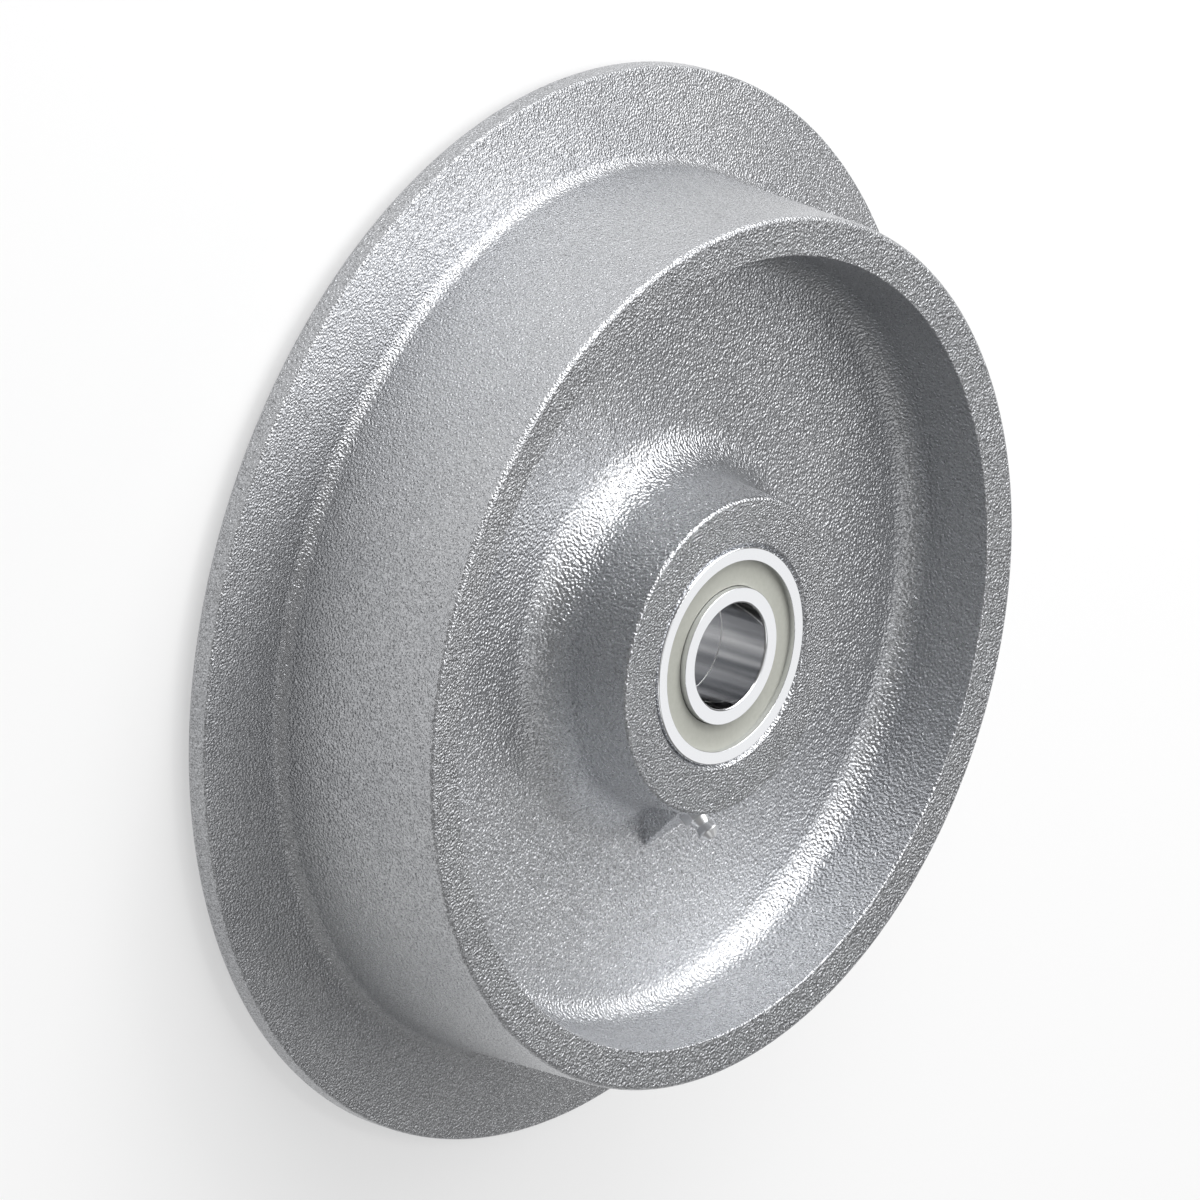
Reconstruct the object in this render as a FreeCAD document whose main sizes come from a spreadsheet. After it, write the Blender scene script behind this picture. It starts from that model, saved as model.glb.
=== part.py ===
import FreeCAD, Part
import math
import os
import Sketcher
from FreeCAD import Placement, Rotation, Vector

# Flanged track wheel. A cast iron wheel turns on two shielded ball bearings with a spacer sleeve
# between them, and a nipple on the hub feeds grease to the space between the bearings.
# The axis is +Z, the wheel stands on its rear hub face at z = 0, and the nipple points to +X.
# Lengths are in millimetres and angles in degrees.
SIZES = {
    # the casting
    "hub_wall": 14.0,
    "seat_shoulder": 3.0,
    "rim_width": 65.0,
    "rim_front_setback": 2.8,
    "rim_rear_setback": 2.2,
    "rim_wall": 12.7,
    "tread_root_diameter": 250.4,
    "tread_taper": 0.025,
    "flange_height": 26.8,
    "flange_edge_width": 6.8,
    "flange_face_angle": 9.4,
    "web_thickness": 12.0,
    "web_setback": 29.0,
    "draft_angle": 5.0,
    "hub_root_round": 13.0,
    "rim_root_round": 8.0,
    "flange_root_round": 4.0,
    "flange_back_round": 2.0,
    "flange_front_round": 0.6,
    "rim_edge_round": 1.5,
    "rim_lip_round": 0.4,
    "hub_edge_round": 1.0,
    "mouth_chamfer": 1.3,
    "seat_allowance": 0.01,
    "cut_overrun": 1.0,
    # the grease boss, its holes and the nipple
    "boss_setback": 11.9,
    "boss_width": 21.0,
    "boss_angle": 45.0,
    "boss_sink": 3.0,
    "nipple_offset": 8.0,
    "channel_diameter": 3.0,
    "thread_diameter": 6.0,
    "thread_length": 5.5,
    "thread_run_out": 2.5,
    "thread_allowance": 0.02,
    "hexagon_sides": 6.0,
    "hexagon_width": 7.0,
    "hexagon_height": 3.2,
    "hexagon_bevel_angle": 30.0,
    "neck_diameter": 4.6,
    "neck_length": 2.2,
    "head_diameter": 6.4,
    "head_length": 1.9,
    "head_land": 0.5,
    "nose_diameter": 2.7,
    "nose_length": 2.1,
    "nose_round": 0.3,
    "inlet_diameter": 1.8,
    "inlet_depth": 0.6,
    "chamber_diameter": 3.0,
    "crimp_thickness": 0.6,
    "crimp_diameter": 1.6,
    "check_ball_diameter": 2.4,
    "check_ball_clearance": 0.03,
    "spring_wire": 0.3,
    "spring_diameter": 2.2,
    "spring_turns": 7.0,
    # the bearings
    "bore_diameter": 30.0,
    "bearing_diameter": 62.0,
    "ring_wall_under_ball": 3.1775,
    "outer_land_wall": 4.55,
    "inner_land_wall": 4.5,
    "ball_count": 9.0,
    "raceway_conformity": 0.52,
    "ball_clearance": 0.06,
    "outer_mouth_step": 0.7,
    "outer_corner_round": 0.5,
    "inner_corner_round": 0.6,
    "ring_edge_break": 0.15,
    "shield_groove_depth": 0.6,
    "shield_groove_width": 1.05,
    "shield_depth": 1.8,
    "shield_sheet": 0.4,
    "shield_seat_clearance": 0.05,
    "shield_bead_width": 1.1,
    "shield_lip_gap": 0.12,
    "shield_bend_round": 0.2,
    "shield_lip_length": 1.6,
    "cage_sheet": 0.7,
    "cage_width": 3.6,
    "cage_pocket_clearance": 0.1,
    "cage_shield_gap": 0.2375,
    "rivet_diameter": 1.4,
    "rivet_head_diameter": 2.2,
    "rivet_head_height": 0.4,
    "rivet_clearance": 0.02,
    # the sleeve between the inner rings
    "sleeve_wall": 3.0,
    "sleeve_chamfer": 0.15,
}


class Size:
    """A number and the spreadsheet formula that gives it."""

    def __init__(self, value, formula):
        self.value = value
        self.formula = formula

    def __add__(self, other):
        return joined(self, "+", other)

    def __radd__(self, other):
        return joined(other, "+", self)

    def __sub__(self, other):
        return joined(self, "-", other)

    def __rsub__(self, other):
        return joined(other, "-", self)

    def __mul__(self, other):
        return joined(self, "*", other)

    def __rmul__(self, other):
        return joined(other, "*", self)

    def __truediv__(self, other):
        return joined(self, "/", other)

    def __rtruediv__(self, other):
        return joined(other, "/", self)

    def __neg__(self):
        return joined(-1.0, "*", self)


def size_of(number):
    """Any number as a Size."""
    return number if isinstance(number, Size) else Size(float(number), repr(float(number)))


def joined(first, sign, second):
    """Two sizes joined by an arithmetic sign."""
    first, second = size_of(first), size_of(second)
    results = {
        "+": lambda: first.value + second.value,
        "-": lambda: first.value - second.value,
        "*": lambda: first.value * second.value,
        "/": lambda: first.value / second.value,
    }
    return Size(results[sign](), f"({first.formula} {sign} {second.formula})")


def tangent(angle):
    """The tangent of an angle in degrees."""
    return Size(math.tan(math.radians(angle.value)), f"tan({angle.formula})")


def cosine(angle):
    """The cosine of an angle in degrees."""
    return Size(math.cos(math.radians(angle.value)), f"cos({angle.formula})")


def sine(angle):
    """The sine of an angle in degrees."""
    return Size(math.sin(math.radians(angle.value)), f"sin({angle.formula})")


def root(number):
    """The square root of a size."""
    return Size(math.sqrt(number.value), f"sqrt({number.formula})")


doc = FreeCAD.newDocument("flanged_track_wheel")
sheet = doc.addObject("Spreadsheet::Sheet", "Sizes")
size = {}
for row, (name, value) in enumerate(SIZES.items(), start=1):
    sheet.set(f"A{row}", name)
    sheet.set(f"B{row}", str(value))
    sheet.setAlias(f"B{row}", name)
    size[name] = Size(value, f"Sizes.{name}")
doc.recompute()


def bind(feature, **values):
    """Sets properties to sizes and ties each to its formula."""
    for name, number in values.items():
        number = size_of(number)
        setattr(feature, name, number.value)
        feature.setExpression(name, number.formula)


def place(feature, x=0.0, y=0.0, z=0.0, turn=None, lean=None):
    """Puts an object at a point that follows the sheet, turned by a fixed rotation or leant towards +X."""
    x, y, z = size_of(x), size_of(y), size_of(z)
    if lean:
        turn = Rotation(Vector(0, 1, 0), lean.value)
    feature.Placement = Placement(Vector(x.value, y.value, z.value), turn or Rotation())
    for axis, number in (("x", x), ("y", y), ("z", z)):
        if "Sizes." in number.formula:
            feature.setExpression(f"Placement.Base.{axis}", number.formula)
    if lean:
        feature.setExpression("Placement.Rotation.Angle", lean.formula)


pieces = []


def new_piece(kind, label):
    """A sub-part, whose label names its file."""
    piece = doc.addObject(kind, label)
    piece.Label = label
    pieces.append(piece)
    return piece


def new_body(label):
    """A sub-part that is built up from features."""
    return new_piece("PartDesign::Body", label)


def origin_feature(body, role):
    """One of the body's own origin planes or axes."""
    return next(item for item in body.Origin.OriginFeatures if item.Role == role)


def new_sketch(body, name):
    """A sketch on the body's XZ plane, where its x is the radius and its y is the height."""
    sketch = body.newObject("Sketcher::SketchObject", name)
    sketch.AttachmentSupport = [(origin_feature(body, "XZ_Plane"), "")]
    sketch.MapMode = "FlatFace"
    return sketch


def pin_point(sketch, piece, end, x=None, y=None):
    """Ties a point of a sketch to the sheet by its distances from the origin."""
    for kind, number in (("DistanceX", x), ("DistanceY", y)):
        if number is not None:
            index = sketch.addConstraint(Sketcher.Constraint(kind, -1, 1, piece, end, number.value))
            sketch.setExpression(f"Constraints[{index}]", number.formula)


def outline(body, name, corners, arcs=None):
    """A closed outline of lines. arcs maps a corner's place in the list to the centre (x, y), radius and
    turning sense (1 is anticlockwise) of an arc to the next corner, whose two ends keep only their x."""
    sketch = new_sketch(body, name)
    arcs = arcs or {}
    corners = [(size_of(x), size_of(y)) for x, y in corners]
    count = len(corners)
    ends = []
    for i in range(count):
        start = Vector(corners[i][0].value, corners[i][1].value, 0)
        stop = Vector(corners[(i + 1) % count][0].value, corners[(i + 1) % count][1].value, 0)
        if i not in arcs:
            sketch.addGeometry(Part.LineSegment(start, stop), False)
            ends.append((1, 2))
            continue
        (x, y), radius, sense = arcs[i]
        middle = Vector(size_of(x).value, size_of(y).value, 0)
        first, last = (start, stop) if sense > 0 else (stop, start)
        from_angle = math.atan2(first.y - middle.y, first.x - middle.x)
        to_angle = math.atan2(last.y - middle.y, last.x - middle.x)
        if to_angle < from_angle:
            to_angle += 2 * math.pi
        circle = Part.Circle(middle, Vector(0, 0, 1), radius.value)
        sketch.addGeometry(Part.ArcOfCircle(circle, from_angle, to_angle), False)
        ends.append((1, 2) if sense > 0 else (2, 1))
    for i in range(count):
        following = (i + 1) % count
        sketch.addConstraint(Sketcher.Constraint("Coincident", i, ends[i][1], following, ends[following][0]))
    for i, (x, y) in enumerate(corners):
        beside_arc = i in arcs or (i - 1) % count in arcs
        pin_point(sketch, i, ends[i][0], x, None if beside_arc else y)
    for i, ((x, y), radius, sense) in arcs.items():
        pin_point(sketch, i, 3, size_of(x), size_of(y))
        index = sketch.addConstraint(Sketcher.Constraint("Radius", i, radius.value))
        sketch.setExpression(f"Constraints[{index}]", radius.formula)
    return sketch


def turned(body, name, kind, corners, arcs=None):
    """A solid or a cut turned about the body's axis from an outline."""
    sketch = outline(body, f"{name}_outline", corners, arcs)
    feature = body.newObject(f"PartDesign::{kind}", name)
    feature.Profile = sketch
    feature.ReferenceAxis = (sketch, ["V_Axis"])
    feature.Angle = 360
    doc.recompute()
    return feature


def ring_edges(shape, rings):
    """The names of the circular edges about Z at each given (radius, height)."""
    names = []
    for radius, height in rings:
        radius, height = size_of(radius).value, size_of(height).value
        found = [
            f"Edge{number}"
            for number, edge in enumerate(shape.Edges, start=1)
            if isinstance(edge.Curve, Part.Circle)
            and abs(edge.Curve.Radius - radius) < 0.001
            and abs(edge.Curve.Center.z - height) < 0.001
            and math.hypot(edge.Curve.Center.x, edge.Curve.Center.y) < 0.001
        ]
        if not found:
            raise RuntimeError(f"no edge at radius {radius} and height {height}")
        names += found
    return names


def round_rings(body, name, rings, radius):
    """Rounds circular edges of the body's last feature."""
    base = body.Tip
    fillet = body.newObject("PartDesign::Fillet", name)
    fillet.Base = (base, ring_edges(base.Shape, rings))
    bind(fillet, Radius=radius)
    doc.recompute()
    return fillet


def bevel_rings(body, name, rings, width):
    """Bevels circular edges of the body's last feature."""
    base = body.Tip
    chamfer = body.newObject("PartDesign::Chamfer", name)
    chamfer.Base = (base, ring_edges(base.Shape, rings))
    bind(chamfer, Size=width)
    doc.recompute()
    return chamfer


def repeated(body, name, feature, count):
    """A feature repeated round the body's Z axis."""
    pattern = body.newObject("PartDesign::PolarPattern", name)
    pattern.Originals = [feature]
    pattern.Axis = (origin_feature(body, "Z_Axis"), [""])
    pattern.Angle = 360
    pattern.Occurrences = round(count.value)
    pattern.setExpression("Occurrences", count.formula)
    body.Tip = pattern
    doc.recompute()
    return pattern


# The balls fill the space between the two rings' raceways. The bearing is as wide as its cage and shields need.
bore_radius = size["bore_diameter"] / 2
bearing_radius = size["bearing_diameter"] / 2
ball_circle_radius = (bore_radius + bearing_radius) / 2
ball_radius = (bearing_radius - bore_radius) / 2 - size["ring_wall_under_ball"] - size["ball_clearance"]
pocket_radius = ball_radius + size["cage_pocket_clearance"]
cup_radius = pocket_radius + size["cage_sheet"]
ring_half = cup_radius + size["cage_shield_gap"] + size["shield_sheet"] + size["shield_depth"]
bearing_width = 2 * ring_half

# The wheel casting: hub, web, rim and flange in one piece of grey iron, with drafted recesses on both sides.
hub_length = size["rim_front_setback"] + size["rim_width"] + size["rim_rear_setback"]
hub_radius = bearing_radius + size["hub_wall"]
cavity_radius = bearing_radius - size["seat_shoulder"]
draft = tangent(size["draft_angle"])
rim_front = hub_length - size["rim_front_setback"]
rim_back = rim_front - size["rim_width"]
tread_root_radius = size["tread_root_diameter"] / 2
rim_inner_radius = tread_root_radius - size["rim_wall"]
flange_radius = tread_root_radius + size["flange_height"]
flange_edge = rim_back + size["flange_edge_width"]
tread_root = flange_edge + size["flange_height"] * tangent(size["flange_face_angle"])
tread_front_radius = tread_root_radius - (rim_front - tread_root) * size["tread_taper"]
web_front = hub_length - size["web_setback"]
web_back = web_front - size["web_thickness"]
hub_front_foot = (hub_radius + (hub_length - web_front) * draft, web_front)
hub_back_foot = (hub_radius + web_back * draft, web_back)
rim_front_foot = (rim_inner_radius - (rim_front - web_front) * draft, web_front)
rim_back_foot = (rim_inner_radius - (web_back - rim_back) * draft, web_back)
seat_radius = bearing_radius + size["seat_allowance"]
front_seat = hub_length - bearing_width

casting = new_body("wheel_casting")
turned(casting, "casting_blank", "Revolution", [
    (cavity_radius, 0),
    (hub_radius, 0),
    hub_back_foot,
    rim_back_foot,
    (rim_inner_radius, rim_back),
    (flange_radius, rim_back),
    (flange_radius, flange_edge),
    (tread_root_radius, tread_root),
    (tread_front_radius, rim_front),
    (rim_inner_radius, rim_front),
    rim_front_foot,
    hub_front_foot,
    (hub_radius, hub_length),
    (cavity_radius, hub_length),
])
round_rings(casting, "hub_roots", [hub_front_foot, hub_back_foot], size["hub_root_round"])
round_rings(casting, "rim_roots", [rim_front_foot, rim_back_foot], size["rim_root_round"])
round_rings(casting, "flange_root", [(tread_root_radius, tread_root)], size["flange_root_round"])
round_rings(casting, "flange_back", [(flange_radius, rim_back)], size["flange_back_round"])
round_rings(casting, "flange_front", [(flange_radius, flange_edge)], size["flange_front_round"])
round_rings(casting, "rim_edge", [(tread_front_radius, rim_front)], size["rim_edge_round"])
round_rings(casting, "rim_lips", [(rim_inner_radius, rim_front), (rim_inner_radius, rim_back)],
            size["rim_lip_round"])
round_rings(casting, "hub_edges", [(hub_radius, 0), (hub_radius, hub_length)], size["hub_edge_round"])

# The grease boss fills the corner of hub and web with a sloping face that the nipple stands on.
boss_slope = tangent(size["boss_angle"])
boss_foot = web_front - size["boss_sink"]
boss_top = hub_length - size["boss_setback"]
boss_inner_radius = (seat_radius + hub_radius) / 2
boss_outline = outline(casting, "grease_boss_outline", [
    (boss_inner_radius, boss_foot),
    (hub_radius + (boss_top - boss_foot) / boss_slope, boss_foot),
    (hub_radius, boss_top),
    (boss_inner_radius, boss_top),
])
boss = casting.newObject("PartDesign::Pad", "grease_boss")
boss.Profile = boss_outline
boss.SideType = "Symmetric"
bind(boss, Length=size["boss_width"])
doc.recompute()

# Both bearing seats are bored to the outer rings, and their mouths are bevelled.
for name, low, high in (
    ("rear_seat", size_of(0), bearing_width),
    ("front_seat", front_seat, hub_length),
):
    turned(casting, name, "Groove", [
        (cavity_radius - size["cut_overrun"], low),
        (seat_radius, low),
        (seat_radius, high),
        (cavity_radius - size["cut_overrun"], high),
    ])
bevel_rings(casting, "bore_mouths", [(seat_radius, 0), (seat_radius, hub_length)], size["mouth_chamfer"])

# The nipple's threaded hole and the grease channel run at right angles to the boss's face into the cavity.
nipple_radius = hub_radius + size["nipple_offset"]
nipple_height = boss_top - size["nipple_offset"] * boss_slope
along_x = sine(size["boss_angle"])
along_z = cosine(size["boss_angle"])


def on_nipple_axis(distance):
    """The x and z of the point on the nipple's axis at a distance above the boss's face."""
    return {"x": nipple_radius + distance * along_x, "z": nipple_height + distance * along_z}


thread_hole_diameter = size["thread_diameter"] + 2 * size["thread_allowance"]
thread_hole_depth = size["thread_length"] + size["thread_run_out"]
channel_depth = (nipple_radius - cavity_radius) / along_x + size["channel_diameter"]
for name, width, depth in (
    ("nipple_hole", thread_hole_diameter, thread_hole_depth),
    ("grease_channel", size["channel_diameter"], channel_depth),
):
    drilled = casting.newObject("PartDesign::SubtractiveCylinder", name)
    bind(drilled, Radius=width / 2, Height=depth + width)
    place(drilled, **on_nipple_axis(-depth), lean=size["boss_angle"])
    doc.recompute()

# The two deep groove ball bearings. Each ring, ball and shield is drawn about the bearing's middle, with the
# shielded side up, and then placed: the rear bearing is turned over.
raceway_radius = 2 * size["raceway_conformity"] * ball_radius
outer_land = bearing_radius - size["outer_land_wall"]
outer_mouth = outer_land + size["outer_mouth_step"]
inner_shoulder = bore_radius + size["inner_land_wall"]
outer_raceway = ball_circle_radius + ball_radius + size["ball_clearance"] - raceway_radius
inner_raceway = ball_circle_radius - ball_radius - size["ball_clearance"] + raceway_radius
groove_top = ring_half - size["shield_depth"] + size["shield_seat_clearance"]
groove_foot = groove_top - size["shield_groove_width"]
groove_radius = outer_mouth + size["shield_groove_depth"]
upright = Rotation()
turned_over = Rotation(Vector(1, 0, 0), 180)
BEARINGS = {
    "front": (hub_length - ring_half, upright),
    "rear": (ring_half, turned_over),
}


def half_chord(radius, distance):
    """Half the width of a groove of a radius, cut at a distance from its centre."""
    return root(radius * radius - distance * distance)


def outer_ring(side):
    """A hardened ring with its raceway and a shield groove on each side."""
    height, turn = BEARINGS[side]
    edge = half_chord(raceway_radius, outer_land - outer_raceway)
    body = new_body(f"{side}_outer_ring")
    turned(body, f"{side}_outer_ring_section", "Revolution", [
        (outer_mouth, -ring_half),
        (bearing_radius, -ring_half),
        (bearing_radius, ring_half),
        (outer_mouth, ring_half),
        (outer_mouth, groove_top),
        (groove_radius, groove_top),
        (groove_radius, groove_foot),
        (outer_land, groove_foot),
        (outer_land, edge),
        (outer_land, -edge),
        (outer_land, -groove_foot),
        (groove_radius, -groove_foot),
        (groove_radius, -groove_top),
        (outer_mouth, -groove_top),
    ], {8: ((outer_raceway, size_of(0)), raceway_radius, -1)})
    corners = [(bearing_radius, -ring_half), (bearing_radius, ring_half)]
    round_rings(body, f"{side}_outer_ring_corners", corners, size["outer_corner_round"])
    mouths = [(outer_mouth, -ring_half), (outer_mouth, ring_half)]
    round_rings(body, f"{side}_outer_ring_mouths", mouths, size["ring_edge_break"])
    place(body, z=height, turn=turn)


def inner_ring(side):
    """A hardened ring with its raceway, whose bore takes the axle."""
    height, turn = BEARINGS[side]
    edge = half_chord(raceway_radius, inner_raceway - inner_shoulder)
    body = new_body(f"{side}_inner_ring")
    turned(body, f"{side}_inner_ring_section", "Revolution", [
        (bore_radius, -ring_half),
        (inner_shoulder, -ring_half),
        (inner_shoulder, -edge),
        (inner_shoulder, edge),
        (inner_shoulder, ring_half),
        (bore_radius, ring_half),
    ], {2: ((inner_raceway, size_of(0)), raceway_radius, -1)})
    round_rings(body, f"{side}_inner_ring_corner", [(bore_radius, ring_half)], size["inner_corner_round"])
    breaks = [(bore_radius, -ring_half), (inner_shoulder, -ring_half), (inner_shoulder, ring_half)]
    round_rings(body, f"{side}_inner_ring_breaks", breaks, size["ring_edge_break"])
    place(body, z=height, turn=turn)


def shield(side):
    """A pressed sheet-steel shield: its bead snaps into the outer ring and its lip clears the inner ring."""
    height, turn = BEARINGS[side]
    top = ring_half - size["shield_depth"]
    under = top - size["shield_sheet"]
    rim = groove_radius - size["shield_seat_clearance"]
    bead = groove_foot + size["shield_seat_clearance"]
    lip = inner_shoulder + size["shield_lip_gap"]
    body = new_body(f"{side}_shield")
    turned(body, f"{side}_shield_section", "Revolution", [
        (lip, top - size["shield_lip_length"]),
        (lip + size["shield_sheet"], top - size["shield_lip_length"]),
        (lip + size["shield_sheet"], under),
        (rim - size["shield_bead_width"], under),
        (rim - size["shield_bead_width"], bead),
        (rim, bead),
        (rim, top),
        (lip, top),
    ])
    round_rings(body, f"{side}_shield_bend", [(lip, top)], size["shield_bend_round"])
    place(body, z=height, turn=turn)


def cage_half_pattern():
    """Half of a pressed ribbon cage about the ball circle: a flat ring with a round pocket for each ball."""
    inside = ball_circle_radius - size["cage_width"] / 2
    outside = ball_circle_radius + size["cage_width"] / 2
    beyond = outside + cup_radius
    body = doc.addObject("PartDesign::Body", "cage_half_pattern")
    turned(body, "cage_ring", "Revolution", [
        (inside, 0),
        (outside, 0),
        (outside, size["cage_sheet"]),
        (inside, size["cage_sheet"]),
    ])
    cup = body.newObject("PartDesign::AdditiveSphere", "cage_cup")
    bind(cup, Radius=cup_radius)
    place(cup, x=ball_circle_radius)
    doc.recompute()
    repeated(body, "cage_cups", cup, size["ball_count"])
    # The cups are trimmed to the ribbon's width, and flat where the two halves meet.
    turned(body, "cage_trim", "Groove", [
        (0, -beyond),
        (beyond, -beyond),
        (beyond, beyond),
        (outside, beyond),
        (outside, 0),
        (inside, 0),
        (inside, beyond),
        (0, beyond),
    ])
    pocket = body.newObject("PartDesign::SubtractiveSphere", "cage_pocket")
    bind(pocket, Radius=pocket_radius)
    place(pocket, x=ball_circle_radius)
    doc.recompute()
    repeated(body, "cage_pockets", pocket, size["ball_count"])
    half_step = 180 / size["ball_count"]
    hole = body.newObject("PartDesign::SubtractiveCylinder", "cage_rivet_hole")
    bind(hole, Radius=size["rivet_diameter"] / 2 + size["rivet_clearance"], Height=2 * cup_radius)
    place(hole, x=ball_circle_radius * cosine(half_step), y=ball_circle_radius * sine(half_step), z=-cup_radius)
    doc.recompute()
    repeated(body, "cage_rivet_holes", hole, size["ball_count"])
    return body


def cage_halves(side):
    """The two like halves of a cage, pressed to one pattern and laid face to face."""
    height, turn = BEARINGS[side]
    for part, facing in (("outer", turn), ("inner", turn * turned_over)):
        body = new_body(f"{side}_cage_{part}_half")
        body.BaseFeature = cage_pattern
        place(body, z=height, turn=facing)


def cage_rivets(side):
    """The rivets that hold the two cage halves together, one between each pair of balls."""
    height, turn = BEARINGS[side]
    half_step = 180 / size["ball_count"]
    reach = size["cage_sheet"] + size["rivet_head_height"]
    body = new_body(f"{side}_cage_rivets")
    body.AllowCompound = True
    for name, width, low, long in (
        ("shank", size["rivet_diameter"], -reach, 2 * reach),
        ("upper_head", size["rivet_head_diameter"], size["cage_sheet"], size["rivet_head_height"]),
        ("lower_head", size["rivet_head_diameter"], -reach, size["rivet_head_height"]),
    ):
        piece = body.newObject("PartDesign::AdditiveCylinder", f"{side}_rivet_{name}")
        bind(piece, Radius=width / 2, Height=long)
        x, y = ball_circle_radius * cosine(half_step), ball_circle_radius * sine(half_step)
        place(piece, x=x, y=y, z=low)
        doc.recompute()
        repeated(body, f"{side}_rivet_{name}s", piece, size["ball_count"])
    place(body, z=height, turn=turn)


def balls(side):
    """The bearing's steel balls, evenly spaced round the ball circle, the first one towards +X."""
    height = BEARINGS[side][0]
    for i in range(round(size["ball_count"].value)):
        angle = 360 * i / size["ball_count"]
        ball = new_piece("Part::Sphere", f"{side}_ball_{i + 1}")
        bind(ball, Radius=ball_radius)
        place(ball, x=ball_circle_radius * cosine(angle), y=ball_circle_radius * sine(angle), z=height)


cage_pattern = cage_half_pattern()
for side in BEARINGS:
    outer_ring(side)
    inner_ring(side)
    shield(side)
    cage_halves(side)
    cage_rivets(side)
    balls(side)

# The spacer sleeve keeps the inner rings apart, in line with their bores.
sleeve = new_body("spacer_sleeve")
sleeve_radius = bore_radius + size["sleeve_wall"]
sleeve_ends = (bearing_width, front_seat)
turned(sleeve, "sleeve_tube", "Revolution", [
    (bore_radius, sleeve_ends[0]),
    (sleeve_radius, sleeve_ends[0]),
    (sleeve_radius, sleeve_ends[1]),
    (bore_radius, sleeve_ends[1]),
])
sleeve_rings = [(radius, height) for radius in (bore_radius, sleeve_radius) for height in sleeve_ends]
bevel_rings(sleeve, "sleeve_bevels", sleeve_rings, size["sleeve_chamfer"])

# The grease nipple: a hexagon with a threaded shank below it and a coupler head above it. A check ball and its
# spring close the inlet from inside. They are drawn about the nipple's own axis, from the boss's face up.
neck = size["hexagon_height"] + size["neck_length"]
head = neck + size["head_length"]
land = head + size["head_land"]
nose = land + size["nose_length"]
thread_foot = -size["thread_length"]
chamber_top = nose - size["inlet_depth"]
chamber_foot = thread_foot + size["crimp_thickness"]
inlet_radius = size["inlet_diameter"] / 2
check_ball_radius = size["check_ball_diameter"] / 2

nipple = new_body("grease_nipple_body")
flat = size["hexagon_width"] / 2
corner = flat / cosine(180 / size["hexagon_sides"])
beyond_corner = corner + size["cut_overrun"]
hexagon = nipple.newObject("PartDesign::AdditivePrism", "nipple_hexagon")
hexagon.Polygon = round(size["hexagon_sides"].value)
hexagon.setExpression("Polygon", size["hexagon_sides"].formula)
bind(hexagon, Circumradius=corner, Height=size["hexagon_height"])
doc.recompute()
turned(nipple, "nipple_hexagon_bevel", "Groove", [
    (flat, size["hexagon_height"]),
    (beyond_corner, size["hexagon_height"] - (beyond_corner - flat) * tangent(size["hexagon_bevel_angle"])),
    (beyond_corner, size["hexagon_height"]),
])
turned(nipple, "nipple_shank_and_head", "Revolution", [
    (0, thread_foot),
    (size["thread_diameter"] / 2, thread_foot),
    (size["thread_diameter"] / 2, size["hexagon_height"]),
    (size["neck_diameter"] / 2, neck),
    (size["head_diameter"] / 2, head),
    (size["head_diameter"] / 2, land),
    (size["nose_diameter"] / 2, nose),
    (0, nose),
])
turned(nipple, "nipple_passage", "Groove", [
    (0, thread_foot - size["cut_overrun"]),
    (size["crimp_diameter"] / 2, thread_foot - size["cut_overrun"]),
    (size["crimp_diameter"] / 2, chamber_foot),
    (size["chamber_diameter"] / 2, chamber_foot),
    (size["chamber_diameter"] / 2, chamber_top),
    (inlet_radius, chamber_top),
    (inlet_radius, nose + size["cut_overrun"]),
    (0, nose + size["cut_overrun"]),
])
head_rings = [(size["head_diameter"] / 2, land), (size["nose_diameter"] / 2, nose)]
round_rings(nipple, "nipple_head_rounds", head_rings, size["nose_round"])
place(nipple, **on_nipple_axis(0), lean=size["boss_angle"])

seat_rise = half_chord(check_ball_radius + size["check_ball_clearance"], inlet_radius)
check_ball_height = chamber_top - seat_rise
check_ball = new_piece("Part::Sphere", "grease_nipple_ball")
bind(check_ball, Radius=check_ball_radius)
place(check_ball, **on_nipple_axis(check_ball_height))

spring_wire_radius = size["spring_wire"] / 2
spring_foot = chamber_foot + spring_wire_radius + size["check_ball_clearance"]
ball_rest = root(
    (check_ball_radius + spring_wire_radius) * (check_ball_radius + spring_wire_radius)
    - size["spring_diameter"] / 2 * (size["spring_diameter"] / 2)
)
spring_top = check_ball_height - ball_rest - size["check_ball_clearance"]
spring = new_body("grease_nipple_spring")
wire_outline = new_sketch(spring, "spring_wire_section")
wire_centre = Vector(size["spring_diameter"].value / 2, spring_foot.value, 0)
wire_outline.addGeometry(Part.Circle(wire_centre, Vector(0, 0, 1), spring_wire_radius.value), False)
wire_index = wire_outline.addConstraint(Sketcher.Constraint("Radius", 0, spring_wire_radius.value))
wire_outline.setExpression(f"Constraints[{wire_index}]", spring_wire_radius.formula)
pin_point(wire_outline, 0, 3, size["spring_diameter"] / 2, spring_foot)
coil = spring.newObject("PartDesign::AdditiveHelix", "spring_coil")
coil.Profile = wire_outline
coil.ReferenceAxis = (wire_outline, ["V_Axis"])
coil.Mode = "height-turns-angle"
bind(coil, Height=spring_top - spring_foot, Turns=size["spring_turns"])
doc.recompute()
place(spring, **on_nipple_axis(0), lean=size["boss_angle"])

doc.recompute()
faults = [item.Name for item in doc.Objects if {"Invalid", "Error"} & set(item.State)]
if faults:
    raise RuntimeError(f"these objects failed: {faults}")

for piece in pieces:
    if piece.Shape.isNull() or not piece.Shape.isValid() or not piece.Shape.Solids:
        raise RuntimeError(f"{piece.Label} has no valid shape")

os.makedirs("parts", exist_ok=True)
for piece in pieces:
    piece.Shape.exportStep(f"parts/{piece.Label}.step")
    print(piece.Label, len(piece.Shape.Solids), round(piece.Shape.Volume, 3))
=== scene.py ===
import bpy
import math
from mathutils import Matrix, Vector


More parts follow.
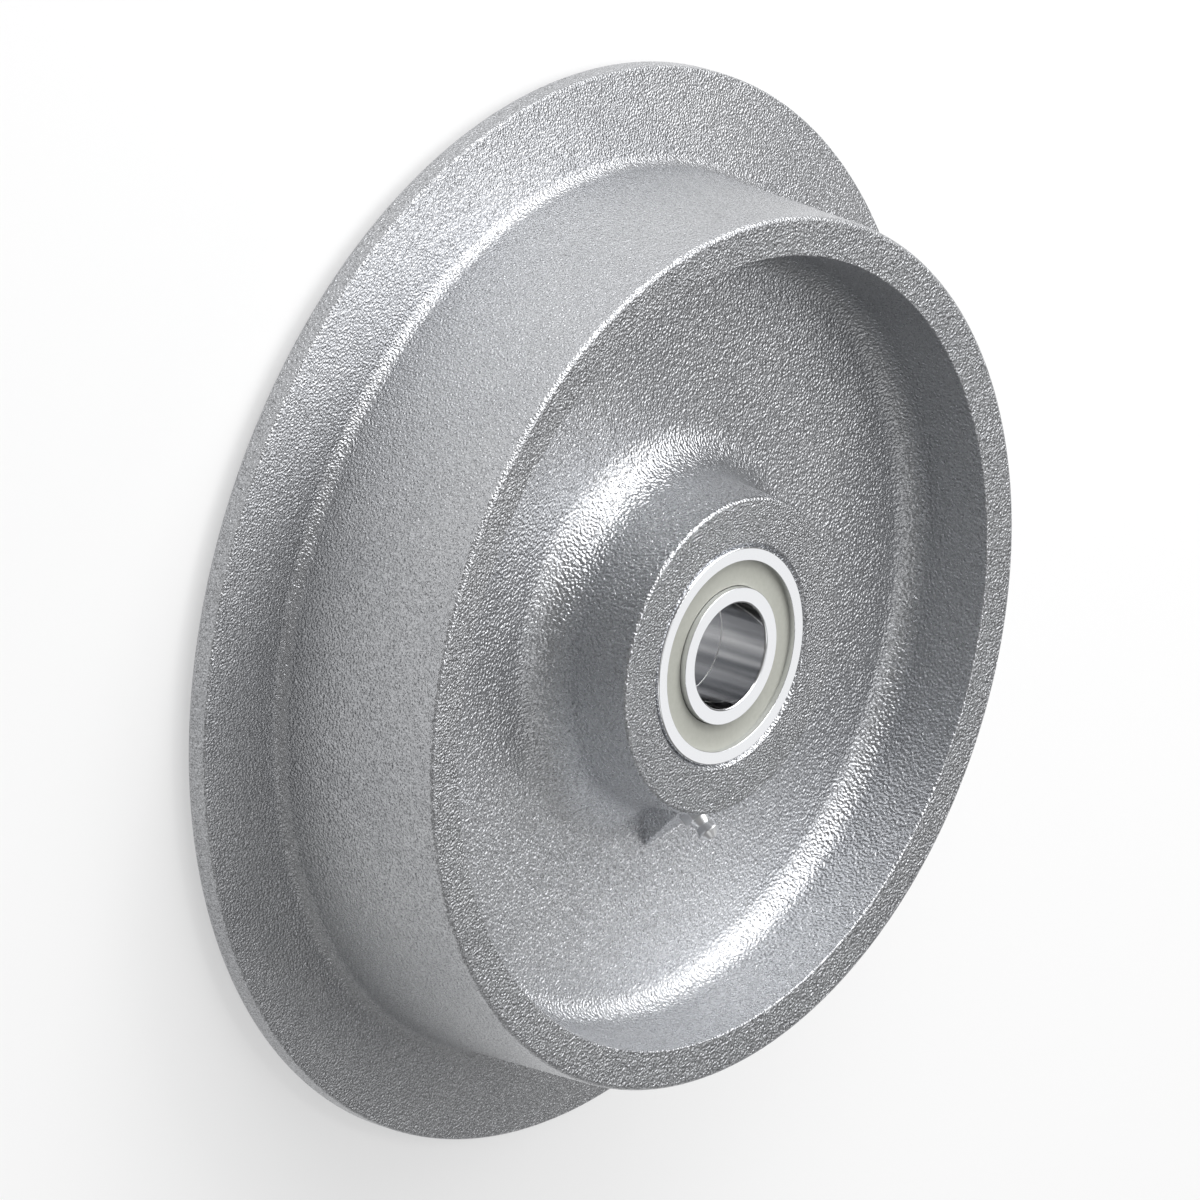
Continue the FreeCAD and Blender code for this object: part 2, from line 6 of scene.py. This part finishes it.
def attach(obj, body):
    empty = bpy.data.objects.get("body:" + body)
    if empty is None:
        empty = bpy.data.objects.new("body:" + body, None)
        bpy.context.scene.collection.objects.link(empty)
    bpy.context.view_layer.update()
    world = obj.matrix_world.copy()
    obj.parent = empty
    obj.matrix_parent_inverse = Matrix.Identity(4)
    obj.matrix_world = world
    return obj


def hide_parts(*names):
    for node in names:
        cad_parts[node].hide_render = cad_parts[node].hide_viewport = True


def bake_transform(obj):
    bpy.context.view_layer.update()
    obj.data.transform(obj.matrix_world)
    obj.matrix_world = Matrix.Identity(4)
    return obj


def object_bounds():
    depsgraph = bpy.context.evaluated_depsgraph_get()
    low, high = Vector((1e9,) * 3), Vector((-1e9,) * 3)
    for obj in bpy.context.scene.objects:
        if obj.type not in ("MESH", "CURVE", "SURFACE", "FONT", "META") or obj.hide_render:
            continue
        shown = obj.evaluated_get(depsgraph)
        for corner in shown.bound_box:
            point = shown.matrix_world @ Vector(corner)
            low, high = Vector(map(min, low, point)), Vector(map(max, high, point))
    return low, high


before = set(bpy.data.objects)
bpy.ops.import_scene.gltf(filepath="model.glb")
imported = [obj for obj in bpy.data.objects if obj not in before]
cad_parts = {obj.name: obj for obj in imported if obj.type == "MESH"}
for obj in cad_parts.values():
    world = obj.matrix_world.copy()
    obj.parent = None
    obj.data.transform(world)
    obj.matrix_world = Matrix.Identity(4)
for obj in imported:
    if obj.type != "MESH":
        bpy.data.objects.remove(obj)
cad_low, cad_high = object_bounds()
bpy.ops.object.select_all(action="DESELECT")

# Wheel casting
# Hub, web, rim, tread and flange are one piece of grey iron with a silver skin, which keeps the grain of the
# sand mould. Its outline is drawn on one side of the axle, its corners are rounded, and it is spun once round.
hub_length = cad_high.z
hub_radius = 0.045
cavity_radius = 0.028
seat_radius = 0.03101
seat_depth = 0.016
mouth_chamfer = 0.0013
rim_front, rim_back = 0.0672, 0.0022
rim_inner_radius = 0.1125
web_front, web_back = 0.041, 0.029
recess_draft = math.tan(math.radians(5))
flange_radius = cad_high.x
flange_edge = 0.009
tread_root_radius, tread_root = 0.1252, 0.01344
tread_tapers_one_in = 40
tread_front_radius = tread_root_radius - (rim_front - tread_root) / tread_tapers_one_in
hub_foot_radius = hub_radius + web_back * recess_draft
rim_front_foot_radius = rim_inner_radius - (rim_front - web_front) * recess_draft
rim_back_foot_radius = rim_inner_radius - (web_back - rim_back) * recess_draft
hub_edge_round, rim_edge_round, tread_edge_round = 0.001, 0.0005, 0.0015
flange_back_round, flange_front_round = 0.002, 0.0008
hub_fillet, rim_fillet, tread_fillet = 0.013, 0.008, 0.004
casting_outline = [
    (cavity_radius, seat_depth, 0),
    (seat_radius, seat_depth, 0),
    (seat_radius, mouth_chamfer, 0),
    (seat_radius + mouth_chamfer, 0, 0),
    (hub_radius, 0, hub_edge_round),
    (hub_foot_radius, web_back, hub_fillet),
    (rim_back_foot_radius, web_back, rim_fillet),
    (rim_inner_radius, rim_back, rim_edge_round),
    (flange_radius, rim_back, flange_back_round),
    (flange_radius, flange_edge, flange_front_round),
    (tread_root_radius, tread_root, tread_fillet),
    (tread_front_radius, rim_front, tread_edge_round),
    (rim_inner_radius, rim_front, rim_edge_round),
    (rim_front_foot_radius, web_front, rim_fillet),
    (hub_foot_radius, web_front, hub_fillet),
    (hub_radius, hub_length, hub_edge_round),
    (seat_radius + mouth_chamfer, hub_length, 0),
    (seat_radius, hub_length - mouth_chamfer, 0),
    (seat_radius, hub_length - seat_depth, 0),
    (cavity_radius, hub_length - seat_depth, 0),
]
same_point = 1e-6
spin_steps = 360
degrees_to_a_facet = 8
fewest_facets = 3
sharpest_smooth_corner = 32


def select_points(piece, wanted):
    """In edit mode, selects only the points that the test picks."""
    bpy.ops.mesh.select_mode(type="VERT")
    bpy.ops.mesh.select_all(action="DESELECT")
    bpy.ops.object.mode_set(mode="OBJECT")
    for point in piece.data.vertices:
        point.select = wanted(point.co)
    bpy.ops.object.mode_set(mode="EDIT")


def spun(name, outline, steps):
    """A closed outline of (radius, height, corner round), drawn from one point corner by corner, then spun."""
    bpy.ops.mesh.primitive_plane_add(size=0.001, location=(0, 0, 0))
    piece = bpy.context.object
    piece.name = name
    bpy.ops.object.mode_set(mode="EDIT")
    bpy.ops.mesh.merge(type="CENTER")
    corners = [Vector((radius, 0, height)) for radius, height, _ in outline]
    bpy.ops.transform.translate(value=corners[0])
    for here, there in zip(corners, corners[1:]):
        bpy.ops.mesh.extrude_region_move(TRANSFORM_OT_translate={"value": there - here})
    select_points(piece, lambda co: min((co - corners[0]).length, (co - corners[-1]).length) < same_point)
    bpy.ops.mesh.edge_face_add()
    for i, (_, _, rounding) in enumerate(outline):
        if rounding:
            before = (corners[i] - corners[i - 1]).normalized()
            after = (corners[(i + 1) % len(corners)] - corners[i]).normalized()
            turn = before.angle(after)
            reach = rounding * math.tan(turn / 2)
            facets = max(fewest_facets, round(math.degrees(turn) / degrees_to_a_facet))
            select_points(piece, lambda co: (co - corners[i]).length < same_point)
            bpy.ops.mesh.bevel(offset_type="OFFSET", offset=reach, segments=facets, affect="VERTICES")
    bpy.ops.mesh.select_all(action="SELECT")
    bpy.ops.mesh.spin(
        steps=steps, angle=2 * math.pi, center=(0, 0, 0), axis=(0, 0, 1), use_auto_merge=True)
    bpy.ops.mesh.select_all(action="SELECT")
    bpy.ops.mesh.remove_doubles(threshold=same_point)
    bpy.ops.mesh.normals_make_consistent(inside=False)
    bpy.ops.object.mode_set(mode="OBJECT")
    return piece


def joined_by_boolean(piece, other, operation):
    """Adds another solid to a piece or cuts it away, and removes the other."""
    bpy.ops.object.select_all(action="DESELECT")
    piece.select_set(True)
    bpy.context.view_layer.objects.active = piece
    bpy.ops.object.modifier_add(type="BOOLEAN")
    piece.modifiers[-1].operation = operation
    piece.modifiers[-1].object = other
    piece.modifiers[-1].solver = "EXACT"
    bpy.ops.object.modifier_apply(modifier=piece.modifiers[-1].name)
    bpy.data.objects.remove(other, do_unlink=True)


casting = spun("casting", casting_outline, spin_steps)

# The grease boss is a wedge in the corner of hub and web, with a face at 45 degrees. The edges that run down its
# slope are rounded.
boss_width = 0.021
boss_inside, boss_foot, boss_top = 0.038, 0.038, 0.0581
boss_reach = hub_radius + boss_top - boss_foot
boss_edge_round = 0.0005
slope_least_run = 0.01
bpy.ops.mesh.primitive_cube_add(size=1, location=(0, 0, 0))
boss = bpy.context.object
bpy.ops.object.mode_set(mode="EDIT")
bpy.ops.transform.resize(value=(boss_reach - boss_inside, boss_width, boss_top - boss_foot))
bpy.ops.transform.translate(value=((boss_reach + boss_inside) / 2, 0, (boss_top + boss_foot) / 2))
select_points(boss, lambda co: co.x > hub_radius and co.z > web_front)
bpy.ops.transform.translate(value=(hub_radius - boss_reach, 0, 0))
bpy.ops.mesh.select_mode(type="EDGE")
bpy.ops.mesh.select_all(action="DESELECT")
bpy.ops.object.mode_set(mode="OBJECT")
for edge in boss.data.edges:
    ends = [boss.data.vertices[i].co for i in edge.vertices]
    along = ends[0] - ends[1]
    edge.select = abs(along.y) < same_point and min(abs(along.x), abs(along.z)) > slope_least_run
bpy.ops.object.mode_set(mode="EDIT")
bpy.ops.mesh.bevel(offset=boss_edge_round, segments=3, affect="EDGES")
bpy.ops.object.mode_set(mode="OBJECT")
joined_by_boolean(casting, boss, "UNION")

# The nipple's hole and the grease channel run at right angles to that face, from the boss into the hub. Each is
# cut by a rod whose middle lies at the nipple's foot.
lean = math.radians(45)
nipple_base = Vector((0.053, 0, 0.0501))
nipple_hole_radius, nipple_hole_depth = 0.00302, 0.008
channel_radius, channel_depth = 0.0015, 0.0385
for radius, depth in ((nipple_hole_radius, nipple_hole_depth), (channel_radius, channel_depth)):
    bpy.ops.mesh.primitive_cylinder_add(
        vertices=32, radius=radius, depth=2 * depth, location=nipple_base, rotation=(0, lean, 0))
    joined_by_boolean(casting, bpy.context.object, "DIFFERENCE")


def smooth_by_angle(piece, degrees):
    """Smooth shading with sharp edges above an angle, and flat faces kept flat."""
    bpy.ops.object.select_all(action="DESELECT")
    piece.select_set(True)
    bpy.context.view_layer.objects.active = piece
    bpy.ops.object.shade_smooth_by_angle(angle=math.radians(degrees))
    bpy.ops.object.modifier_add(type="WEIGHTED_NORMAL")
    piece.modifiers[-1].keep_sharp = True
    bpy.ops.object.modifier_apply(modifier=piece.modifiers[-1].name)


smooth_by_angle(casting, sharpest_smooth_corner)


def new_material(name):
    """A material with its nodes, its links, its shader and the place on the object."""
    material = bpy.data.materials.new(name)
    material.use_nodes = True
    nodes, links = material.node_tree.nodes, material.node_tree.links
    place = nodes.new("ShaderNodeTexCoord").outputs["Object"]
    return material, nodes, links, nodes["Principled BSDF"], place


def noise(nodes, links, place, scale, detail, roughness=0.5):
    """Noise of a size, given in cells to the metre."""
    texture = nodes.new("ShaderNodeTexNoise")
    links.new(place, texture.inputs["Vector"])
    texture.inputs["Scale"].default_value = scale
    texture.inputs["Detail"].default_value = detail
    texture.inputs["Roughness"].default_value = roughness
    return texture.outputs["Fac"]


def ramp(nodes, links, value, low, high, low_at=0.0, high_at=1.0):
    """A value turned into a colour between two colours."""
    mixer = nodes.new("ShaderNodeValToRGB")
    links.new(value, mixer.inputs["Fac"])
    for element, position, colour in zip(mixer.color_ramp.elements, (low_at, high_at), (low, high)):
        element.position = position
        element.color = (*colour, 1)
    return mixer.outputs["Color"]


def spread(nodes, links, value, low, high, from_low=0.0, from_high=1.0):
    """A value spread between two numbers."""
    mapper = nodes.new("ShaderNodeMapRange")
    links.new(value, mapper.inputs["Value"])
    mapper.inputs["From Min"].default_value = from_low
    mapper.inputs["From Max"].default_value = from_high
    mapper.inputs["To Min"].default_value = low
    mapper.inputs["To Max"].default_value = high
    return mapper.outputs["Result"]


def bump(nodes, links, height, distance, strength=1.0, below=None):
    """Relief from a height, of a depth in metres, on top of another relief."""
    relief = nodes.new("ShaderNodeBump")
    links.new(height, relief.inputs["Height"])
    relief.inputs["Distance"].default_value = distance
    relief.inputs["Strength"].default_value = strength
    if below:
        links.new(below, relief.inputs["Normal"])
    return relief.outputs["Normal"]


# Silver-grey skin: small pimples from the sand, a finer grain between them, and a faint cloud of lighter and
# darker metal. The grain's colour carries painted shade in its pits and painted light on its tops. Flange and
# tread are a little finer than the recesses. The faces of hub and rim and the flange's edge are rougher, with
# stronger painted shade in their pits.
grain_to_pimples = 1.4
clouds_to_metre = 22
roughness_spread = 0.06
skin_metallic = 0.9
cloud_dark, cloud_light = (0.50, 0.508, 0.527), (0.56, 0.567, 0.583)


def cast_iron_skin(name, pimples_to_metre, pimple_height, grain_height, roughness, painted_pit_shade, painted_top_light):
    """Bare cast iron with a grain of its own size and depth."""
    material, nodes, links, shader, place = new_material(name)
    pimples = noise(nodes, links, place, scale=pimples_to_metre, detail=0)
    grain = noise(nodes, links, place, scale=grain_to_pimples * pimples_to_metre, detail=2, roughness=0.6)
    cloud = noise(nodes, links, place, scale=clouds_to_metre, detail=4)
    relief = bump(nodes, links, pimples, distance=pimple_height)
    relief = bump(nodes, links, grain, distance=grain_height, below=relief)
    links.new(relief, shader.inputs["Normal"])
    tint = ramp(nodes, links, cloud, cloud_dark, cloud_light, low_at=0.3, high_at=0.7)
    # Painted shade and light: the grain darkens the colour in its pits and lightens it on its tops.
    shade = spread(nodes, links, grain, painted_pit_shade, painted_top_light, from_low=0.3, from_high=0.7)
    pits = nodes.new("ShaderNodeVectorMath")
    pits.operation = "SCALE"
    links.new(tint, pits.inputs["Vector"])
    links.new(shade, pits.inputs["Scale"])
    links.new(pits.outputs["Vector"], shader.inputs["Base Color"])
    dullness = spread(nodes, links, grain, roughness - roughness_spread, roughness + roughness_spread)
    links.new(dullness, shader.inputs["Roughness"])
    shader.inputs["Metallic"].default_value = skin_metallic
    return material


flat_faces = (0, rim_back, rim_front, hub_length)
flat_enough = 1e-5
edge_band = 0.0005
clear_of_the_rim = 0.002


def skin_at(co):
    """0 in the recesses, 1 on the flange's front and the tread, 2 on the flat faces and the flange's edge."""
    radius = math.hypot(co.x, co.y)
    on_the_edge = radius > flange_radius * math.cos(math.pi / spin_steps) - edge_band
    if on_the_edge or min(abs(co.z - level) for level in flat_faces) < flat_enough:
        return 2
    return 1 if radius > rim_inner_radius + clear_of_the_rim else 0


casting.data.materials.clear()
casting.data.materials.append(cast_iron_skin(
    "cast_iron_in_the_recess", pimples_to_metre=1300, pimple_height=0.00042, grain_height=0.00015,
    roughness=0.28, painted_pit_shade=0.82, painted_top_light=1.18))
casting.data.materials.append(cast_iron_skin(
    "cast_iron_outside", pimples_to_metre=1600, pimple_height=0.0004, grain_height=0.00017,
    roughness=0.27, painted_pit_shade=0.74, painted_top_light=1.26))
casting.data.materials.append(cast_iron_skin(
    "cast_iron_rough_face", pimples_to_metre=1600, pimple_height=0.00052, grain_height=0.00022,
    roughness=0.29, painted_pit_shade=0.5, painted_top_light=1.35))
for polygon in casting.data.polygons:
    polygon.material_index = skin_at(polygon.center)
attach(casting, "wheel")
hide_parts("wheel_casting")

# Bearing rings
# Two hardened rings to each bearing, ground all over and polished. Fine lines run round the faces. The bore's
# colour carries painted reflections, lighter and darker streaks along it, and a painted highlight, a paler line,
# on the small turned edge where a ring meets the sleeve.
bore_limit = 0.0152
bearing_width = 0.016
seam_half_width = 0.0002
seam_roughness = 0.5
streaks_to_metre = 62
streak_length_scale = 0.04
ring_steel_colour = (0.86, 0.87, 0.89, 1)


def maths(nodes, links, operation, value, other):
    """One step of arithmetic on a value, with a number or with another value."""
    step = nodes.new("ShaderNodeMath")
    step.operation = operation
    links.new(value, step.inputs[0])
    if isinstance(other, (int, float)):
        step.inputs[1].default_value = other
    else:
        links.new(other, step.inputs[1])
    return step.outputs[0]


def streaks_along_the_axle(nodes, links, place):
    """Noise drawn out along the axle, which makes streaks: painted reflection bands in the bores' colour."""
    drawn_out = nodes.new("ShaderNodeVectorMath")
    drawn_out.operation = "MULTIPLY"
    drawn_out.inputs[1].default_value = (1, 1, streak_length_scale)
    links.new(place, drawn_out.inputs[0])
    return noise(nodes, links, drawn_out.outputs["Vector"], scale=streaks_to_metre, detail=3)


def at_the_seam(nodes, links, place):
    """1 on the small turned edges where a ring and the sleeve meet, 0 elsewhere."""
    level = nodes.new("ShaderNodeSeparateXYZ")
    links.new(place, level.inputs["Vector"])
    value = level.outputs["Z"]
    for operation, number in (
        ("SUBTRACT", hub_length / 2),
        ("ABSOLUTE", 0),
        ("SUBTRACT", hub_length / 2 - bearing_width),
        ("ABSOLUTE", 0),
        ("LESS_THAN", seam_half_width),
    ):
        value = maths(nodes, links, operation, value, number)
    return value


def painted_highlight_at_the_seam(nodes, links, place, shader, colour, roughness):
    """A steel's colour and roughness, with a painted highlight, a paler and duller line, at each seam."""
    seam = at_the_seam(nodes, links, place)
    mixed = nodes.new("ShaderNodeMix")
    mixed.data_type = "RGBA"
    mixed.inputs["B"].default_value = (1, 1, 1, 1)
    links.new(seam, mixed.inputs["Factor"])
    links.new(colour, mixed.inputs["A"])
    links.new(mixed.outputs["Result"], shader.inputs["Base Color"])
    duller = nodes.new("ShaderNodeMix")
    duller.inputs["B"].default_value = seam_roughness
    links.new(seam, duller.inputs["Factor"])
    links.new(roughness, duller.inputs["A"])
    links.new(duller.outputs["Result"], shader.inputs["Roughness"])


ring_steel, nodes, links, shader, place = new_material("ground_ring_steel")
shader.inputs["Metallic"].default_value = 1.0
split = nodes.new("ShaderNodeSeparateXYZ")
links.new(place, split.inputs["Vector"])
flat = nodes.new("ShaderNodeCombineXYZ")
links.new(split.outputs["X"], flat.inputs["X"])
links.new(split.outputs["Y"], flat.inputs["Y"])
radial = nodes.new("ShaderNodeVectorMath")
radial.operation = "LENGTH"
links.new(flat.outputs["Vector"], radial.inputs[0])
across = nodes.new("ShaderNodeCombineXYZ")
links.new(radial.outputs["Value"], across.inputs["X"])
links.new(split.outputs["Z"], across.inputs["Y"])
lines = noise(nodes, links, across.outputs["Vector"], scale=6000, detail=2)
# Only the bore gets the painted reflection streaks in its colour.
in_the_bore = maths(nodes, links, "LESS_THAN", radial.outputs["Value"], bore_limit)
streaks = streaks_along_the_axle(nodes, links, place)
painted_reflection_streaks = ramp(
    nodes, links, streaks, (0.44, 0.45, 0.47), (1.0, 1.0, 1.0), low_at=0.4, high_at=0.58)
tint = nodes.new("ShaderNodeMix")
tint.data_type = "RGBA"
tint.inputs["A"].default_value = ring_steel_colour
links.new(in_the_bore, tint.inputs["Factor"])
links.new(painted_reflection_streaks, tint.inputs["B"])
haze = spread(nodes, links, noise(nodes, links, place, scale=180, detail=3), low=0.06, high=0.14)
painted_highlight_at_the_seam(nodes, links, place, shader, tint.outputs["Result"], haze)
links.new(bump(nodes, links, lines, distance=0.000004, strength=0.5), shader.inputs["Normal"])
for side in ("front", "rear"):
    for ring in ("outer_ring", "inner_ring"):
        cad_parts[f"{side}_{ring}"].material_slots[0].material = ring_steel

# Shields
# A shield of thin pressed sheet closes each bearing's outer side, with a flat matt khaki-grey coat.
shield_coat, nodes, links, shader, place = new_material("shield_coat")
speckle = noise(nodes, links, place, scale=900, detail=2)
khaki = ramp(nodes, links, speckle, (0.41, 0.415, 0.37), (0.44, 0.445, 0.40), low_at=0.3, high_at=0.7)
links.new(khaki, shader.inputs["Base Color"])
links.new(bump(nodes, links, speckle, distance=0.00002, strength=0.4), shader.inputs["Normal"])
shader.inputs["Roughness"].default_value = 0.55
for side in ("front", "rear"):
    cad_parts[f"{side}_shield"].material_slots[0].material = shield_coat

# Balls, cages and rivets
# Inside each bearing nine polished balls run in a cage of two pressed ribbons, riveted together between them.
ball_steel, nodes, links, shader, place = new_material("polished_ball_steel")
shader.inputs["Base Color"].default_value = ring_steel_colour
shader.inputs["Metallic"].default_value = 1.0
polish = noise(nodes, links, place, scale=500, detail=3)
links.new(spread(nodes, links, polish, low=0.04, high=0.10), shader.inputs["Roughness"])
cage_steel, nodes, links, shader, place = new_material("pressed_cage_steel")
shader.inputs["Metallic"].default_value = 1.0
rolled = noise(nodes, links, place, scale=700, detail=4)
rolled_grey = ramp(nodes, links, rolled, (0.5, 0.5, 0.51), (0.62, 0.62, 0.63), low_at=0.3, high_at=0.7)
links.new(rolled_grey, shader.inputs["Base Color"])
links.new(spread(nodes, links, rolled, low=0.25, high=0.4), shader.inputs["Roughness"])
for name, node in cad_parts.items():
    if "_ball_" in name:
        node.material_slots[0].material = ball_steel
    elif "cage" in name:
        node.material_slots[0].material = cage_steel

# Spacer sleeve
# A drawn tube between the two inner rings, with the same bore as theirs and the same painted reflections,
# streaks along it in its colour, with a painted highlight at each seam.
sleeve_steel, nodes, links, shader, place = new_material("drawn_sleeve_steel")
shader.inputs["Metallic"].default_value = 1.0
streaks = streaks_along_the_axle(nodes, links, place)
# Painted reflections: lighter and darker streaks along the bore, in the colour.
tint = ramp(nodes, links, streaks, (0.42, 0.43, 0.45), (0.98, 0.98, 0.99), low_at=0.4, high_at=0.58)
haze = spread(nodes, links, streaks, low=0.12, high=0.24)
painted_highlight_at_the_seam(nodes, links, place, shader, tint, haze)
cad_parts["spacer_sleeve"].material_slots[0].material = sleeve_steel

# Grease nipple
# A turned steel nipple with bright zinc plating. Its check ball closes the inlet.
zinc, nodes, links, shader, place = new_material("zinc_plate")
shader.inputs["Metallic"].default_value = 1.0
bloom = noise(nodes, links, place, scale=1200, detail=3)
plate = ramp(nodes, links, bloom, (0.84, 0.85, 0.86), (0.92, 0.92, 0.93), low_at=0.3, high_at=0.7)
links.new(plate, shader.inputs["Base Color"])
links.new(spread(nodes, links, bloom, low=0.3, high=0.42), shader.inputs["Roughness"])
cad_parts["grease_nipple_body"].material_slots[0].material = zinc
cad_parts["grease_nipple_ball"].material_slots[0].material = ball_steel

# Valve spring
# The wound spring under the check ball stands in the nipple's chamber.
wire_radius = 0.00015
coil_radius = 0.0011
wire_sides = 12
spring_turns = 7
steps_to_a_turn = 32
spring_foot, spring_top = -0.00472, 0.007649
bpy.ops.mesh.primitive_circle_add(vertices=wire_sides, radius=wire_radius, location=(0, 0, 0))
spring = bpy.context.object
spring.name = "valve_spring"
spring.rotation_euler = (math.pi / 2, 0, 0)
bpy.ops.object.transform_apply()
bpy.ops.object.mode_set(mode="EDIT")
bpy.ops.mesh.select_all(action="SELECT")
bpy.ops.transform.translate(value=(coil_radius, 0, spring_foot))
bpy.ops.object.mode_set(mode="OBJECT")
bpy.ops.object.modifier_add(type="SCREW")
winding = spring.modifiers[-1]
winding.angle = 2 * math.pi
winding.iterations = spring_turns
winding.screw_offset = (spring_top - spring_foot) / spring_turns
winding.steps = winding.render_steps = steps_to_a_turn
bpy.ops.object.modifier_apply(modifier=winding.name)
bpy.ops.object.mode_set(mode="EDIT")
bpy.ops.mesh.select_all(action="SELECT")
bpy.ops.mesh.fill_holes(sides=0)
bpy.ops.mesh.normals_make_consistent(inside=False)
bpy.ops.object.mode_set(mode="OBJECT")
spring.location = nipple_base
spring.rotation_euler = (0, lean, 0)
bpy.ops.object.transform_apply()
bpy.ops.object.shade_smooth_by_angle(angle=math.radians(45))
spring.data.materials.clear()
spring.data.materials.append(cage_steel)
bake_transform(spring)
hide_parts("grease_nipple_spring")

# Floor
# One large plane of pale board under the wheel. To the camera and in the metal's reflections, half of its light
# is its own, so that it shows nearly white. The rest comes from the lamps and keeps the wheel's shadow.
floor_size = 12.0
floor_grey = 0.92
own_light = 0.5
board, nodes, links, shader, place = new_material("pale_board")
shader.inputs["Base Color"].default_value = (floor_grey, floor_grey, floor_grey, 1)
shader.inputs["Roughness"].default_value = 0.9
path = nodes.new("ShaderNodeLightPath")
seen = maths(nodes, links, "MAXIMUM", path.outputs["Is Camera Ray"], path.outputs["Is Glossy Ray"])
seen = maths(nodes, links, "MAXIMUM", seen, path.outputs["Is Transmission Ray"])
share = maths(nodes, links, "MULTIPLY", seen, own_light)
glow = nodes.new("ShaderNodeEmission")
blend = nodes.new("ShaderNodeMixShader")
links.new(share, blend.inputs["Fac"])
links.new(shader.outputs["BSDF"], blend.inputs[1])
links.new(glow.outputs["Emission"], blend.inputs[2])
links.new(blend.outputs["Shader"], nodes["Material Output"].inputs["Surface"])
bpy.ops.mesh.primitive_plane_add(size=floor_size, location=(0, 0, 0))
floor = bpy.context.object
floor.name = "floor"
floor.data.materials.append(board)

# Camera
# The view of the photograph: parallel rays from 36.7 degrees above the hub's face, rolled so that the axle
# points to the right. The centre of the front hub face sets its place in the picture.
photo_side = 1200
pixels_per_metre = 3640
hub_centre_pixel = (731.06, 656.25)
azimuth, elevation, roll = math.radians(-35), math.radians(36.74), math.radians(107.47)
camera_distance = 1.5
turn = (
    Matrix.Rotation(azimuth, 4, "Z")
    @ Matrix.Rotation(math.pi / 2 - elevation, 4, "X")
    @ Matrix.Rotation(roll, 4, "Z")
)
hub_face_centre = Vector((0, 0, hub_length))
shift_right = (photo_side / 2 - hub_centre_pixel[0]) / pixels_per_metre
shift_up = (hub_centre_pixel[1] - photo_side / 2) / pixels_per_metre
bpy.ops.object.camera_add()
camera = bpy.context.object
camera.data.type = "ORTHO"
camera.data.ortho_scale = photo_side / pixels_per_metre
camera.matrix_world = Matrix.Translation(
    hub_face_centre + turn.to_3x3() @ Vector((shift_right, shift_up, camera_distance))
) @ turn
bpy.context.scene.camera = camera

# Light
# A pale studio with a dim world. Two soft boxes at the side run along the fillets and the flange, one overhead
# lights the web and the faces, and a weaker one hangs straight above. Two small ones reach the polished rings
# and the near side of the hub. Each row: degrees round the axle and above the floor, width, height, watts.
world_strength = 0.2
world = bpy.data.worlds.new("studio")
bpy.context.scene.world = world
world.use_nodes = True
background = world.node_tree.nodes["Background"]
background.inputs["Color"].default_value = (1, 1, 1, 1)
background.inputs["Strength"].default_value = world_strength
bpy.context.scene.view_settings.view_transform = "Standard"
wheel_middle = Vector((0, 0, 0.04))
lamp_distance = 2.0
for name, around, above, width, height, watts in (
    ("side_box", 166, 27, 2.0, 1.0, 32.0),
    ("corner_box", 122, 39, 1.2, 0.8, 12.0),
    ("overhead_box", 112, 62, 1.2, 1.0, 12.0),
    ("top_box", 60, 84, 0.9, 0.9, 2.5),
    ("face_box", 55.1, 36.7, 0.7, 0.7, 1.2),
    ("near_box", -38, 57, 1.2, 0.4, 2.8),
):
    around, above = math.radians(around), math.radians(above)
    towards = Vector((
        math.cos(above) * math.cos(around),
        math.cos(above) * math.sin(around),
        math.sin(above),
    ))
    bpy.ops.object.light_add(type="AREA", location=wheel_middle + lamp_distance * towards)
    lamp = bpy.context.object
    lamp.name = name
    lamp.data.shape = "RECTANGLE"
    lamp.data.size = width
    lamp.data.size_y = height
    lamp.data.energy = watts
    lamp.rotation_euler = towards.to_track_quat("Z", "Y").to_euler()
